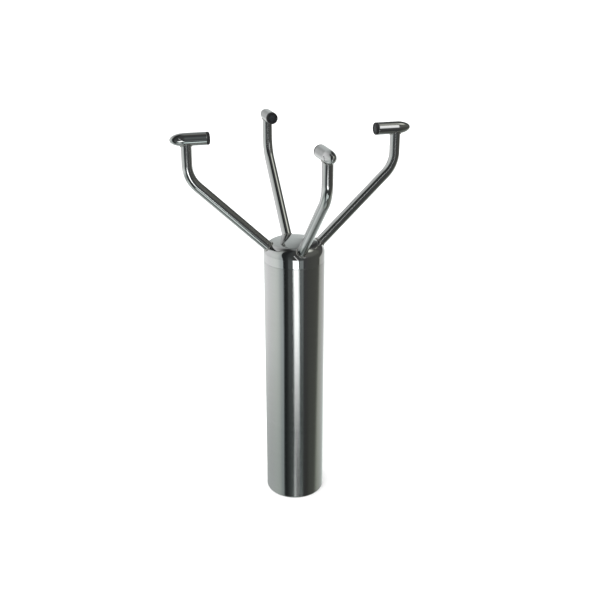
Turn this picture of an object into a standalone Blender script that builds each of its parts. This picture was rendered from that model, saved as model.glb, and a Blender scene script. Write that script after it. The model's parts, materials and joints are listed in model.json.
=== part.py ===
"""Ultrasonic anemometer: four transducers on bent steel arms above a slim steel housing.

Each opposed pair of transducers times sound across an open path, so nothing turns in the wind.
The lower end slips over a mast and is held by four clamp screws, the only pieces that travel.

Metres, +Z up. The origin is the centre of the bottom rim. North is +Y and east is +X.
"""

import math

import bmesh
import bpy
from mathutils import Matrix, Vector

# Driving dimensions
GAP = 0.0003  # clearance between pieces that touch on the real object
BODY_RADIUS = 0.03015
TUBE_WALL = 0.002
CAP_TOP = 0.28175
CAP_CROWN = 0.0025  # how far the middle of the cap's dome stands above the dome's edge
CAP_SHOULDER = 0.0085  # how far in from the cap's side the dome ends
CAP_SEAM = 0.260
ARM_RADIUS = 0.005
ARM_BORE = 0.004
ARM_LEAN = math.radians(46)
ARM_ROOT = 0.027  # an arm's centreline passes this far from the axis ...
ARM_ROOT_HEIGHT = 0.2765  # ... at this height
ARM_REACH = 0.1015  # how far out an arm's upright leg stands
ARM_BEND = 0.029
ARM_END = 0.2665  # height of an arm's lower end, inside the cap
HEAD_HEIGHT = 0.3843
HEAD_RADIUS = 0.006
HEAD_TIP = 0.1165
NOSE_LENGTH = 0.014
ACOUSTIC_PATH = 0.160
MAST_BORE = 0.0253
PLUG_BOTTOM = 0.045
PLUG_TOP = 0.0577
PLUG_RECESS_TOP = 0.047
LIP_TOP = 0.062
CARRIER_THICKNESS = 0.004
ROD_RADIUS = 0.0025
ROD_OFFSET = 0.01096  # the rods stand on one diagonal, at this x and y
SCREW_RADIUS = 0.003
SCREW_LENGTH = 0.005
SCREW_TIP = 0.0251
CONNECTOR_RADIUS = 0.008
BOARD_OFFSET = 0.0056
BOARD_THICKNESS = 0.0016
BOARD_WIDTH = 0.038
DISC_RADIUS = 0.024  # the round board and the moulded carrier
FRONT_END_BOARD = 0.230  # height of the round board's underside
LEAD_RADIUS = 0.00125

BODY_SIDES = 40
ARM_SIDES = 16
HEAD_SIDES = 20
SMALL_SIDES = 16

ARM_AZIMUTHS = {"east": 0, "north": 90, "west": 180, "south": 270}
SCREW_AZIMUTHS = {"east": 45, "west": 135}
SCREW_HEIGHTS = {"lower": 0.014, "upper": 0.032}

TUBE_BORE = BODY_RADIUS - TUBE_WALL
FACE_REACH = ACOUSTIC_PATH / 2
BOOT_LENGTH = 0.0027
SHELL_FRONT = FACE_REACH + BOOT_LENGTH + GAP
ROD_BORE = ROD_RADIUS + GAP
ROD_SPOTS = {"a": (ROD_OFFSET, ROD_OFFSET), "b": (-ROD_OFFSET, -ROD_OFFSET)}


def material(name, colour, roughness, metallic):
    """A Principled material of one colour."""
    made = bpy.data.materials.new(name)
    made.use_nodes = True
    shader = made.node_tree.nodes["Principled BSDF"]
    shader.inputs["Base Color"].default_value = (*colour, 1)
    shader.inputs["Roughness"].default_value = roughness
    shader.inputs["Metallic"].default_value = metallic
    made.diffuse_color = (*colour, 1)
    return made


def make_materials():
    return {
        "brushed": material("brushed_steel", (0.60, 0.61, 0.61), 0.30, 1),
        "polished": material("polished_steel", (0.70, 0.71, 0.71), 0.08, 1),
        "rubber": material("black_rubber", (0.015, 0.015, 0.016), 0.55, 0),
        "facing": material("transducer_facing", (0.03, 0.035, 0.04), 0.45, 0),
        "ceramic": material("piezo_ceramic", (0.72, 0.66, 0.50), 0.50, 0),
        "resin": material("backing_resin", (0.20, 0.12, 0.07), 0.60, 0),
        "sheath": material("lead_sheath", (0.10, 0.10, 0.11), 0.60, 0),
        "aluminium": material("machined_aluminium", (0.66, 0.67, 0.68), 0.35, 1),
        "zinc": material("zinc_steel", (0.55, 0.56, 0.58), 0.35, 1),
        "nickel": material("nickel_brass", (0.66, 0.63, 0.56), 0.25, 1),
        "plastic": material("black_plastic", (0.02, 0.02, 0.022), 0.45, 0),
        "board": material("board_laminate", (0.02, 0.16, 0.07), 0.40, 0),
        "chip": material("chip_package", (0.025, 0.025, 0.028), 0.50, 0),
    }


def clear_scene():
    for old in list(bpy.data.objects):
        bpy.data.objects.remove(old)


def add_object(name, mesh, finish=None, parent=None):
    """Links a new object, shaded smooth with its sharp edges kept."""
    made = bpy.data.objects.new(name, mesh)
    bpy.context.scene.collection.objects.link(made)
    made.parent = parent
    if finish:
        mesh.materials.clear()
        mesh.materials.append(finish)
    mesh.shade_smooth()
    mesh.set_sharp_from_angle(angle=math.radians(35))
    return made


def mesh_of(shape, name):
    """Turns a bmesh into a mesh with its faces pointing out."""
    bmesh.ops.remove_doubles(shape, verts=shape.verts, dist=1e-7)
    bmesh.ops.recalc_face_normals(shape, faces=shape.faces)
    mesh = bpy.data.meshes.new(name)
    shape.to_mesh(mesh)
    shape.free()
    return mesh


def turned(name, outline, sides, ring=True):
    """Spins (radius, height) points about Z. A ring's outline closes; any other has its ends on the axis."""
    shape = bmesh.new()
    points = [shape.verts.new((radius, 0, height)) for radius, height in outline]
    edges = [shape.edges.new(pair) for pair in zip(points, points[1:])]
    if ring:
        edges.append(shape.edges.new((points[-1], points[0])))
    bmesh.ops.spin(
        shape, geom=points + edges, axis=(0, 0, 1), cent=(0, 0, 0),
        steps=sides, angle=math.tau, use_merge=True,
    )
    return mesh_of(shape, name)


def rod(name, radius, bottom, top, sides=SMALL_SIDES):
    """A plain upright cylinder on the Z axis."""
    return turned(name, [(0, top), (radius, top), (radius, bottom), (0, bottom)], sides, ring=False)


def sleeve(name, inner, outer, bottom, top, sides=SMALL_SIDES):
    """A plain upright ring on the Z axis."""
    return turned(name, [(inner, bottom), (outer, bottom), (outer, top), (inner, top)], sides)


def hexagon_prism(name, flats, bottom, top):
    """A six-sided prism on the Z axis, measured across its flats."""
    return rod(name, flats / 2 / math.cos(math.pi / 6), bottom, top, sides=6)


def slab(name, size, centre, bevel=0.0):
    """A box, with all its edges bevelled if asked."""
    shape = bmesh.new()
    bmesh.ops.create_cube(shape, size=1, matrix=Matrix.Translation(centre) @ Matrix.Diagonal((*size, 1)))
    if bevel:
        bmesh.ops.bevel(shape, geom=shape.edges[:], offset=bevel, segments=1, affect="EDGES")
    return mesh_of(shape, name)


def torus(name, major, minor, height, sides, minor_sides=8):
    """A round seal on the Z axis."""
    return turned(name, arc((major, height), minor, 0, math.tau, minor_sides)[:-1], sides)


def arc(centre, radius, start, end, steps):
    """Points on an arc, both ends included."""
    angles = [start + (end - start) * step / steps for step in range(steps + 1)]
    return [(centre[0] + radius * math.cos(a), centre[1] + radius * math.sin(a)) for a in angles]


def cutter(name, mesh, matrix=None, parent=None):
    """A helper that only Booleans use."""
    made = add_object("cut_" + name, mesh, parent=parent)
    made.matrix_basis = matrix or Matrix.Identity(4)
    made.hide_render = True
    made.display_type = "WIRE"
    return made


def combine(target, tool, operation="DIFFERENCE"):
    """Cuts the tool from the target, or joins it on."""
    modifier = target.modifiers.new(tool.name, "BOOLEAN")
    modifier.operation = operation
    modifier.solver = "EXACT"
    modifier.object = tool


def baked(source, tools):
    """The source's mesh with its modifiers applied, after which it and its tools are removed."""
    bpy.context.view_layer.update()
    graph = bpy.context.evaluated_depsgraph_get()
    mesh = bpy.data.meshes.new_from_object(source.evaluated_get(graph))
    for used in (source, *tools):
        bpy.data.objects.remove(used)
    return mesh


def outward(azimuth):
    """Turns the Z axis to point away from the housing, level, at this azimuth in degrees."""
    return Matrix.Rotation(math.radians(azimuth), 4, "Z") @ Matrix.Rotation(math.pi / 2, 4, "Y")


def cap_socket(azimuth):
    """Carries an upright cylinder about the origin onto the centreline of one arm's socket."""
    return (
        Matrix.Rotation(math.radians(azimuth), 4, "Z")
        @ Matrix.Translation((ARM_ROOT, 0, ARM_ROOT_HEIGHT))
        @ Matrix.Rotation(ARM_LEAN, 4, "Y")
    )


def smooth_route(points, spacing):
    """A Catmull-Rom curve through the points, read about every spacing metres."""
    knots = [Vector(p) for p in points]
    knots = [2 * knots[0] - knots[1], *knots, 2 * knots[-1] - knots[-2]]
    route = []
    for before, start, end, after in zip(knots, knots[1:], knots[2:], knots[3:]):
        steps = max(1, round((end - start).length / spacing))
        for step in range(steps):
            t = step / steps
            route.append(
                0.5 * (
                    2 * start + (end - before) * t
                    + (2 * before - 5 * start + 4 * end - after) * t**2
                    + (3 * start - before - 3 * end + after) * t**3
                )
            )
    return [*route, knots[-2]]


def cable(name, points, radius, finish, parent=None):
    """A round cable: a poly curve with a bevel and filled caps."""
    route = smooth_route(points, spacing=5 * radius)
    curve = bpy.data.curves.new(name, "CURVE")
    curve.dimensions = "3D"
    curve.bevel_depth = radius
    curve.bevel_resolution = 2
    curve.use_fill_caps = True
    spline = curve.splines.new("POLY")
    spline.points.add(len(route) - 1)
    for point, place in zip(spline.points, route):
        point.co = (*place, 1)
    curve.materials.append(finish)
    made = bpy.data.objects.new(name, curve)
    bpy.context.scene.collection.objects.link(made)
    made.parent = parent
    return made


# Housing


def make_housing_tube(finish):
    chamfer = 0.0008
    outline = [
        (TUBE_BORE, 0), (BODY_RADIUS - chamfer, 0), (BODY_RADIUS, chamfer),
        (BODY_RADIUS, CAP_SEAM - GAP), (TUBE_BORE, CAP_SEAM - GAP),
    ]
    tube = add_object("housing_tube", turned("housing_tube", outline, BODY_SIDES), finish)
    for hole in clamp_screw_holes("tube"):
        combine(tube, hole)


def make_mast_socket(finish):
    """The sleeve that the mast slides into, with a lip at its top that the base plug is drawn up against."""
    outer = TUBE_BORE - GAP
    bottom, lead_in, lip_bore, lip_bottom = 0.001, 0.001, 0.0215, PLUG_TOP + GAP
    outline = [
        (MAST_BORE + lead_in, bottom), (outer, bottom), (outer, LIP_TOP), (lip_bore, LIP_TOP),
        (lip_bore, lip_bottom), (MAST_BORE, lip_bottom), (MAST_BORE, bottom + lead_in),
    ]
    socket = add_object("mast_socket", turned("mast_socket", outline, BODY_SIDES), finish)
    for hole in clamp_screw_holes("socket"):
        combine(socket, hole)


def clamp_screw_holes(name):
    """Cutters for the four clamp screws."""
    start, end = 0.022, 0.034
    mesh = rod("screw_hole", SCREW_RADIUS + GAP, start, end)
    holes = []
    for row, height in SCREW_HEIGHTS.items():
        for side, azimuth in SCREW_AZIMUTHS.items():
            place = Matrix.Translation((0, 0, height)) @ outward(azimuth)
            holes.append(cutter(f"{name}_{row}_{side}", mesh, place))
    return holes


def cap_outline():
    """The cap's upper outline from near its middle to its side: a shallow dome and a tangent shoulder."""
    dome_edge = BODY_RADIUS - CAP_SHOULDER
    dome = (dome_edge**2 + CAP_CROWN**2) / (2 * CAP_CROWN)
    slope = math.asin(dome_edge / dome)
    shoulder = CAP_SHOULDER / (1 - math.sin(slope))
    shoulder_centre = (BODY_RADIUS - shoulder, CAP_TOP - CAP_CROWN - shoulder * math.cos(slope))
    upright, dome_steps, shoulder_steps = math.pi / 2, 3, 6
    return [
        *arc((0, CAP_TOP - dome), dome, upright, upright - slope, dome_steps)[1:-1],
        *arc(shoulder_centre, shoulder, upright - slope, 0, shoulder_steps),
    ]


def make_top_cap(finish):
    """The solid head that carries the arms, with a spigot and seal groove inside the housing tube."""
    spigot, groove, groove_low, groove_high = TUBE_BORE - GAP, 0.0254, 0.253, 0.256
    bottom, cavity, ceiling = 0.249, 0.022, 0.262
    outline = [
        (0, CAP_TOP), *cap_outline(), (BODY_RADIUS, CAP_SEAM), (spigot, CAP_SEAM), (spigot, groove_high),
        (groove, groove_high), (groove, groove_low), (spigot, groove_low), (spigot, bottom),
        (cavity, bottom), (cavity, ceiling), (0, ceiling),
    ]
    cap = add_object("top_cap", turned("top_cap", outline, BODY_SIDES, ring=False), finish)
    socket_start, socket_end, rod_hole_end = -0.026, 0.018, 0.270
    bore = rod("arm_socket", ARM_RADIUS + GAP, socket_start, socket_end, sides=ARM_SIDES)
    for side, azimuth in ARM_AZIMUTHS.items():
        combine(cap, cutter("arm_socket_" + side, bore, cap_socket(azimuth)))
    tapped = rod("rod_hole", ROD_BORE, ceiling - 0.002, rod_hole_end)
    for spot, (x, y) in ROD_SPOTS.items():
        combine(cap, cutter("rod_hole_" + spot, tapped, Matrix.Translation((x, y, 0))))


def make_base_plug(finish):
    """The disc that closes the housing inside the socket. Its rim is the mast's stop."""
    outer, groove, groove_low, groove_high = MAST_BORE - GAP, 0.0227, 0.050, 0.053
    recess, recess_top = 0.021, PLUG_RECESS_TOP
    outline = [
        (0, PLUG_TOP), (outer, PLUG_TOP), (outer, groove_high), (groove, groove_high),
        (groove, groove_low), (outer, groove_low), (outer, PLUG_BOTTOM), (recess, PLUG_BOTTOM),
        (recess, recess_top), (0, recess_top),
    ]
    plug = add_object("base_plug", turned("base_plug", outline, BODY_SIDES, ring=False), finish)
    low, high = recess_top - 0.002, PLUG_TOP + 0.002
    vent_radius, earth_radius, earth_end = 0.0033, 0.0018, 0.054
    holes = {"connector": (CONNECTOR_RADIUS + GAP, 0, 0), "vent": (vent_radius, -ROD_OFFSET, ROD_OFFSET)}
    holes.update({"rod_" + spot: (ROD_BORE, x, y) for spot, (x, y) in ROD_SPOTS.items()})
    for name, (radius, x, y) in holes.items():
        combine(plug, cutter("plug_" + name, rod(name, radius, low, high), Matrix.Translation((x, y, 0))))
    earth = rod("earth", earth_radius, low, earth_end)
    combine(plug, cutter("plug_earth", earth, Matrix.Translation((ROD_OFFSET, -ROD_OFFSET, 0))))


def make_seals(finish):
    """Round seals in the cap's and the plug's grooves, as (middle radius, section radius, height)."""
    seals = {"cap_seal_ring": (0.02675, 0.001, 0.2545), "base_seal_ring": (0.024, 0.00097, 0.0515)}
    for name, (major, minor, height) in seals.items():
        add_object(name, torus(name, major, minor, height, BODY_SIDES), finish)


def make_clamp_screws(finish):
    """Socket set screws. Each one's origin is on its travel axis, at its tip."""
    tip_radius, socket_flats, socket_depth, chamfer = 0.002, 0.003, 0.0025, 0.001
    outline = [
        (0, SCREW_LENGTH), (SCREW_RADIUS - chamfer / 2, SCREW_LENGTH),
        (SCREW_RADIUS, SCREW_LENGTH - chamfer / 2), (SCREW_RADIUS, chamfer), (tip_radius, 0), (0, 0),
    ]
    blank = add_object("screw_blank", turned("clamp_screw", outline, SMALL_SIDES, ring=False))
    hexagon = hexagon_prism("socket", socket_flats, SCREW_LENGTH - socket_depth, SCREW_LENGTH + 0.001)
    key = cutter("socket", hexagon)
    combine(blank, key)
    mesh = baked(blank, [key])
    for row, height in SCREW_HEIGHTS.items():
        for side, azimuth in SCREW_AZIMUTHS.items():
            screw = add_object(f"clamp_screw_{row}_{side}", mesh, finish)
            turn = math.radians(azimuth)
            screw.location = (SCREW_TIP * math.cos(turn), SCREW_TIP * math.sin(turn), height)
            screw.rotation_euler = outward(azimuth).to_euler()


# Arms and transducers, each modelled in the east arm's plane and turned by its group's empty


def arm_route():
    """An arm's centreline as (reach, height, slope) from the cap to the head, slope being its lean there."""
    corner = ARM_ROOT_HEIGHT + (ARM_REACH - ARM_ROOT) / math.tan(ARM_LEAN)
    bend_height = corner + ARM_BEND * math.tan(ARM_LEAN / 2)
    start = (ARM_ROOT - (ARM_ROOT_HEIGHT - ARM_END) * math.tan(ARM_LEAN), ARM_END, ARM_LEAN)
    bend_steps = 8
    leans = [ARM_LEAN * (1 - step / bend_steps) for step in range(bend_steps + 1)]
    bend = [
        (ARM_REACH - ARM_BEND * (1 - math.cos(lean)), bend_height - ARM_BEND * math.sin(lean), lean)
        for lean in leans
    ]
    return [start, *bend, (ARM_REACH, HEAD_HEIGHT - HEAD_RADIUS / 2, 0)]


def arm_blank():
    """The bent tube, before its top is coped to fit under the head."""
    shape = bmesh.new()
    shells = []
    for radius in (ARM_RADIUS, ARM_BORE):
        rings = []
        for reach, height, lean in arm_route():
            across = Vector((math.cos(lean), 0, -math.sin(lean)))
            ring = []
            for step in range(ARM_SIDES):
                angle = math.tau * step / ARM_SIDES
                around = radius * (math.cos(angle) * across + math.sin(angle) * Vector((0, 1, 0)))
                ring.append(shape.verts.new(Vector((reach, 0, height)) + around))
            rings.append(ring)
        shells.append(rings)
    outer, inner = shells
    strips = [*zip(outer, outer[1:]), *zip(inner, inner[1:]), (outer[0], inner[0]), (outer[-1], inner[-1])]
    for one, other in strips:
        for step in range(ARM_SIDES):
            after = (step + 1) % ARM_SIDES
            shape.faces.new((one[step], one[after], other[after], other[step]))
    return mesh_of(shape, "arm_tube")


def arm_mesh():
    blank = add_object("arm_blank", arm_blank())
    saddle = rod("saddle", HEAD_RADIUS + GAP, FACE_REACH, HEAD_TIP, sides=32)
    cope = cutter("cope", saddle, Matrix.Translation((0, 0, HEAD_HEIGHT)) @ outward(0))
    combine(blank, cope)
    return baked(blank, [cope])


def shell_mesh():
    """The head's casing: a tube with a pointed nose, open at the face and drilled below for the lead."""
    bore, bore_end, nose_steps = 0.005, 0.105, 7
    lead_hole_radius, lead_hole_depth = 0.003, 0.010
    nose = [
        (HEAD_RADIUS * math.cos(t), HEAD_TIP - NOSE_LENGTH * (1 - math.sin(t)))
        for t in (math.pi / 2 * step / nose_steps for step in range(nose_steps))
    ]
    outline = [
        (0, bore_end), (bore, bore_end), (bore, SHELL_FRONT), (HEAD_RADIUS, SHELL_FRONT), *nose,
        (0, HEAD_TIP),
    ]
    shell = add_object("shell_blank", turned("transducer_shell", outline, HEAD_SIDES, ring=False))
    shell.matrix_basis = outward(0)
    bpy.context.view_layer.update()
    drill = rod("lead_hole", lead_hole_radius, -lead_hole_depth, 0)
    lead_hole = cutter("lead_hole", drill, Matrix.Translation((ARM_REACH, 0, 0)))
    combine(shell, lead_hole)
    mesh = baked(shell, [lead_hole])
    mesh.transform(outward(0))
    return mesh


def boot_mesh():
    """The rubber boot that isolates the transducer: a rounded ring with a spigot inside the shell."""
    outer, spigot, mouth, seat = HEAD_RADIUS - 0.0001, 0.0047, 0.0039, 0.0042
    rounding, seat_start, spigot_end = 0.0012, FACE_REACH + 0.0031, FACE_REACH + 0.012
    rim = arc((outer - rounding, FACE_REACH + rounding), rounding, -math.pi / 2, 0, 3)
    outline = [
        (mouth, FACE_REACH), *rim, (outer, FACE_REACH + BOOT_LENGTH), (spigot, FACE_REACH + BOOT_LENGTH),
        (spigot, spigot_end), (seat, spigot_end), (seat, seat_start), (mouth, seat_start),
    ]
    mesh = turned("transducer_boot", outline, HEAD_SIDES)
    mesh.transform(outward(0))
    return mesh


def disc_mesh(name, radius, start, end):
    """A plain disc in the head, from start to end along its axis."""
    mesh = rod(name, radius, FACE_REACH + start, FACE_REACH + end)
    mesh.transform(outward(0))
    return mesh


def lead_points():
    """From the back of the transducer, down inside the arm and on to the round board below the cap."""
    turn = 0.0055  # the radius of the corner where it leaves the head
    cut_corner = (1 - math.cos(math.pi / 4)) * turn
    transducer_back, board_spot = FACE_REACH + 0.0114, 0.0090
    rises = (0.055, 0.03, 0.005, -0.0125)
    lean_run = [(ARM_ROOT + rise * math.tan(ARM_LEAN), ARM_ROOT_HEIGHT + rise) for rise in rises]
    bend_middle = arm_route()[5]
    route = [
        (transducer_back, HEAD_HEIGHT), (ARM_REACH - turn, HEAD_HEIGHT),
        (ARM_REACH - cut_corner, HEAD_HEIGHT - cut_corner), (ARM_REACH, HEAD_HEIGHT - turn),
        (ARM_REACH, HEAD_HEIGHT - 0.016), bend_middle[:2], *lean_run,
        (0.0100, 0.2570), (board_spot, 0.2480), (board_spot, FRONT_END_BOARD + BOARD_THICKNESS + GAP),
    ]
    return [(reach, 0, height) for reach, height in route]


def make_arms(finishes):
    facing_radius, ceramic_radius = 0.0036, 0.0039
    meshes = {
        "arm_tube": (arm_mesh(), "polished"),
        "transducer_shell": (shell_mesh(), "polished"),
        "transducer_boot": (boot_mesh(), "rubber"),
        "matching_disc": (disc_mesh("matching_disc", facing_radius, 0.0003, 0.0030), "facing"),
        "piezo_disc": (disc_mesh("piezo_disc", ceramic_radius, 0.0034, 0.0054), "ceramic"),
        "backing_block": (disc_mesh("backing_block", ceramic_radius, 0.0057, 0.0111), "resin"),
    }
    raised = {"transducer_shell", "transducer_boot", "matching_disc", "piezo_disc", "backing_block"}
    for side, azimuth in ARM_AZIMUTHS.items():
        group = bpy.data.objects.new(f"arm_group_{side}", None)
        bpy.context.scene.collection.objects.link(group)
        group.rotation_euler.z = math.radians(azimuth)
        for piece, (mesh, finish) in meshes.items():
            made = add_object(f"{piece}_{side}", mesh, finishes[finish], parent=group)
            made.location.z = HEAD_HEIGHT if piece in raised else 0
        cable(f"transducer_lead_{side}", lead_points(), LEAD_RADIUS, finishes["sheath"], parent=group)


# Electronics and what holds them


def make_tie_rods(finishes):
    """Rods that draw the cap down and the base plug up, with the boards stacked on them."""
    nut_flats, nut_thickness, rod_bottom, rod_top = 0.008, 0.004, 0.0415, 0.269
    carrier_top, spacer_radius = LIP_TOP + GAP + CARRIER_THICKNESS, 0.004
    board_top = FRONT_END_BOARD + BOARD_THICKNESS
    for spot, (x, y) in ROD_SPOTS.items():
        pieces = [
            add_object(f"tie_rod_{spot}", rod("tie_rod", ROD_RADIUS, rod_bottom, rod_top), finishes["zinc"]),
            add_object(
                f"spacer_sleeve_{spot}",
                sleeve("spacer", ROD_BORE, spacer_radius, carrier_top + GAP, FRONT_END_BOARD - GAP),
                finishes["aluminium"],
            ),
        ]
        seats = {"tie_rod_nut": PLUG_RECESS_TOP - GAP - nut_thickness, "board_nut": board_top + GAP}
        for name, bottom in seats.items():
            prism = hexagon_prism(name, nut_flats, bottom, bottom + nut_thickness)
            nut = add_object(f"{name}_{spot}", prism, finishes["zinc"])
            bore = cutter(f"{name}_{spot}", rod("bore", ROD_BORE, bottom - 0.001, bottom + 0.005))
            bore.parent = nut
            combine(nut, bore)
            pieces.append(nut)
        for piece in pieces:
            piece.location = (x, y, 0)


def make_carrier(finish):
    """The moulded disc on the socket's lip that holds the lower edges of both upright boards."""
    bottom, top = LIP_TOP + GAP, LIP_TOP + GAP + CARRIER_THICKNESS
    window_radius, slot_depth = 0.0035, 0.0023
    carrier = add_object("lower_carrier", rod("lower_carrier", DISC_RADIUS, bottom, top, BODY_SIDES), finish)
    window = cutter("carrier_window", rod("window", window_radius, bottom - 0.001, top + 0.001))
    combine(carrier, window)
    for spot, (x, y) in ROD_SPOTS.items():
        hole = rod("hole", ROD_BORE, bottom - 0.001, top + 0.001)
        combine(carrier, cutter("carrier_rod_" + spot, hole, Matrix.Translation((x, y, 0))))
    for side in (-1, 1):
        slot_size = (BOARD_WIDTH + 2 * GAP, BOARD_THICKNESS + 2 * GAP, 2 * slot_depth)
        slot = slab("slot", slot_size, (0, side * BOARD_OFFSET, top))
        combine(carrier, cutter(f"carrier_slot_{side}", slot))


def make_boards(finish):
    bottom, top = LIP_TOP + 0.0023, FRONT_END_BOARD - GAP
    size = (BOARD_WIDTH, BOARD_THICKNESS, top - bottom)
    for name, side in {"main_board": -1, "driver_board": 1}.items():
        add_object(name, slab(name, size, (0, side * BOARD_OFFSET, (bottom + top) / 2)), finish)
    disc = rod("front_end_board", DISC_RADIUS, FRONT_END_BOARD, FRONT_END_BOARD + BOARD_THICKNESS, BODY_SIDES)
    board = add_object("front_end_board", disc, finish)
    for spot, (x, y) in ROD_SPOTS.items():
        hole = rod("hole", ROD_BORE, FRONT_END_BOARD - 0.001, FRONT_END_BOARD + 0.003)
        combine(board, cutter("board_rod_" + spot, hole, Matrix.Translation((x, y, 0))))


def make_board_components(finishes):
    outer_face = BOARD_OFFSET + BOARD_THICKNESS / 2 + GAP
    chip = slab("processor_chip", (0.012, 0.0015, 0.012), (0.008, -outer_face - 0.00075, 0.160), bevel=0.0002)
    add_object("processor_chip", chip, finishes["chip"])
    core = slab("pulse_transformer", (0.014, 0.011, 0.013), (-0.008, outer_face + 0.0055, 0.150), bevel=0.001)
    add_object("pulse_transformer", core, finishes["plastic"])
    can_radius, can_length = 0.005, 0.016
    can = add_object("reservoir_capacitor", rod("can", can_radius, 0, can_length), finishes["aluminium"])
    can.location = (-0.008, outer_face + can_radius, 0.095)


def make_connector(finishes):
    """The round receptacle in the base plug, which the mast's cable plugs into from below."""
    bottom, flange_low, flange_high, top = 0.028, 0.0445, 0.0467, 0.0607
    bore, flange, sides = 0.0064, 0.0102, 24
    outline = [
        (bore, bottom), (CONNECTOR_RADIUS, bottom), (CONNECTOR_RADIUS, flange_low), (flange, flange_low),
        (flange, flange_high), (CONNECTOR_RADIUS, flange_high), (CONNECTOR_RADIUS, top), (bore, top),
    ]
    add_object("connector_shell", turned("connector_shell", outline, sides), finishes["nickel"])

    nut_flats, nut_low, nut_high = 0.022, PLUG_TOP + GAP, PLUG_TOP + GAP + 0.003
    prism = hexagon_prism("connector_nut", nut_flats, nut_low, nut_high)
    nut = add_object("connector_nut", prism, finishes["nickel"])
    thread = rod("thread", CONNECTOR_RADIUS + GAP, nut_low - 0.001, nut_high + 0.001, sides)
    combine(nut, cutter("connector_nut", thread))

    insert_low, insert_high = 0.038, 0.052
    block = rod("connector_insert", bore - GAP, insert_low, insert_high, sides)
    insert = add_object("connector_insert", block, finishes["plastic"])
    pin_count, pin_circle, pin_radius, pin_low, pin_high = 8, 0.0040, 0.0005, 0.033, 0.055
    for index in range(pin_count):
        turn = math.tau * index / pin_count
        place = Matrix.Translation((pin_circle * math.cos(turn), pin_circle * math.sin(turn), 0))
        pin = rod("pin", pin_radius, pin_low, pin_high, sides=8)
        combine(insert, cutter(f"pin_{index}", pin, place), "UNION")

    harness_radius = 0.0021
    harness = [
        (0, 0, 0.0554), (0, 0, 0.064), (0, 0.0008, 0.076), (0, 0.0018, 0.088), (0, 0.0002, 0.096),
        (0, -0.0024, 0.0992),
    ]
    cable("connector_harness", harness, harness_radius, finishes["sheath"])


def headed_stem(name, stem, stem_top, head, head_height):
    """A round stem that stands in the plug from its recess upwards, with a head below it."""
    seat = PLUG_RECESS_TOP - GAP
    outline = [
        (0, stem_top), (stem, stem_top), (stem, seat), (head, seat), (head, seat - head_height),
        (0, seat - head_height),
    ]
    return turned(name, outline, SMALL_SIDES, ring=False)


def make_plug_fittings(finishes):
    """The breathing vent and the earth screw, both in the plug's recess."""
    vent = headed_stem("vent_plug", stem=0.003, stem_top=0.0567, head=0.0045, head_height=0.003)
    add_object("vent_plug", vent, finishes["plastic"]).location = (-ROD_OFFSET, ROD_OFFSET, 0)

    head_height, slot_size = 0.002, (0.008, 0.0008, 0.002)
    blank = headed_stem("earth_screw", stem=0.0015, stem_top=0.0537, head=0.003, head_height=head_height)
    screw = add_object("earth_screw_blank", blank)
    slot = cutter("earth_slot", slab("slot", slot_size, (0, 0, PLUG_RECESS_TOP - GAP - head_height)))
    combine(screw, slot)
    earth = add_object("earth_screw", baked(screw, [slot]), finishes["nickel"])
    earth.location = (ROD_OFFSET, -ROD_OFFSET, 0)


def main():
    clear_scene()
    finishes = make_materials()
    make_housing_tube(finishes["brushed"])
    make_mast_socket(finishes["zinc"])
    make_top_cap(finishes["polished"])
    make_base_plug(finishes["aluminium"])
    make_seals(finishes["rubber"])
    make_clamp_screws(finishes["zinc"])
    make_arms(finishes)
    make_tie_rods(finishes)
    make_carrier(finishes["plastic"])
    make_boards(finishes["board"])
    make_board_components(finishes)
    make_connector(finishes)
    make_plug_fittings(finishes)


main()
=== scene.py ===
"""The looks of the ultrasonic anemometer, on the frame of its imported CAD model.

Every piece that shows is rebuilt finely from the frame's boxes: turned pieces from their outlines, arms by
carrying a ring along a bent line, and weld beads along the lines where tubes meet. The sealed inner pieces
stay as they are and get finished materials. The steel takes its bands from a studio of two pale walls, a
dark surround, a few soft patches and a tall strip light, which the world shader draws by direction.
"""

import json
import math

import bmesh
import bpy
from mathutils import Matrix, Vector


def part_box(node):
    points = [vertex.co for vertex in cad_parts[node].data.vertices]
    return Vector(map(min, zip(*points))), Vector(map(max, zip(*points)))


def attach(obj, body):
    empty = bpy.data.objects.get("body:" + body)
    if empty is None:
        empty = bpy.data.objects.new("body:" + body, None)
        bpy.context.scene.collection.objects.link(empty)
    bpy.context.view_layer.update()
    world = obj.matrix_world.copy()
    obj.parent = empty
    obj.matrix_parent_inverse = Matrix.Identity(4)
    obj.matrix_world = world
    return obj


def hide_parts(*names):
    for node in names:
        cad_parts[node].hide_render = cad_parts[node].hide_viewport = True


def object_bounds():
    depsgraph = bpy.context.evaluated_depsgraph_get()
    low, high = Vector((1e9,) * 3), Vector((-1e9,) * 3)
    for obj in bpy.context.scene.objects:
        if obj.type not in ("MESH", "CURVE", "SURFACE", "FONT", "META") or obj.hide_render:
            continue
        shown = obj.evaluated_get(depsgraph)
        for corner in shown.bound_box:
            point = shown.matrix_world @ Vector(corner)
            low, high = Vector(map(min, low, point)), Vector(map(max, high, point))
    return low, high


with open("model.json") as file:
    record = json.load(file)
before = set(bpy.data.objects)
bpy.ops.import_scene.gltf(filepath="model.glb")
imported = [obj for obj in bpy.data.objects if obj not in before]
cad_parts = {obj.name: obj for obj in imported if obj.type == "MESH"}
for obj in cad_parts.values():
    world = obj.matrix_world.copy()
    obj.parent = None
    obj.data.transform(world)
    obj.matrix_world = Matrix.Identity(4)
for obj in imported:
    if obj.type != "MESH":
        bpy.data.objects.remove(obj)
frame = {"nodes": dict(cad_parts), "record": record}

CAD_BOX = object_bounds()

SIDES = {"east": 0, "north": 90, "west": 180, "south": 270}
RODS = ("a", "b")
BODY = "anemometer"
TAU = math.tau

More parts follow.
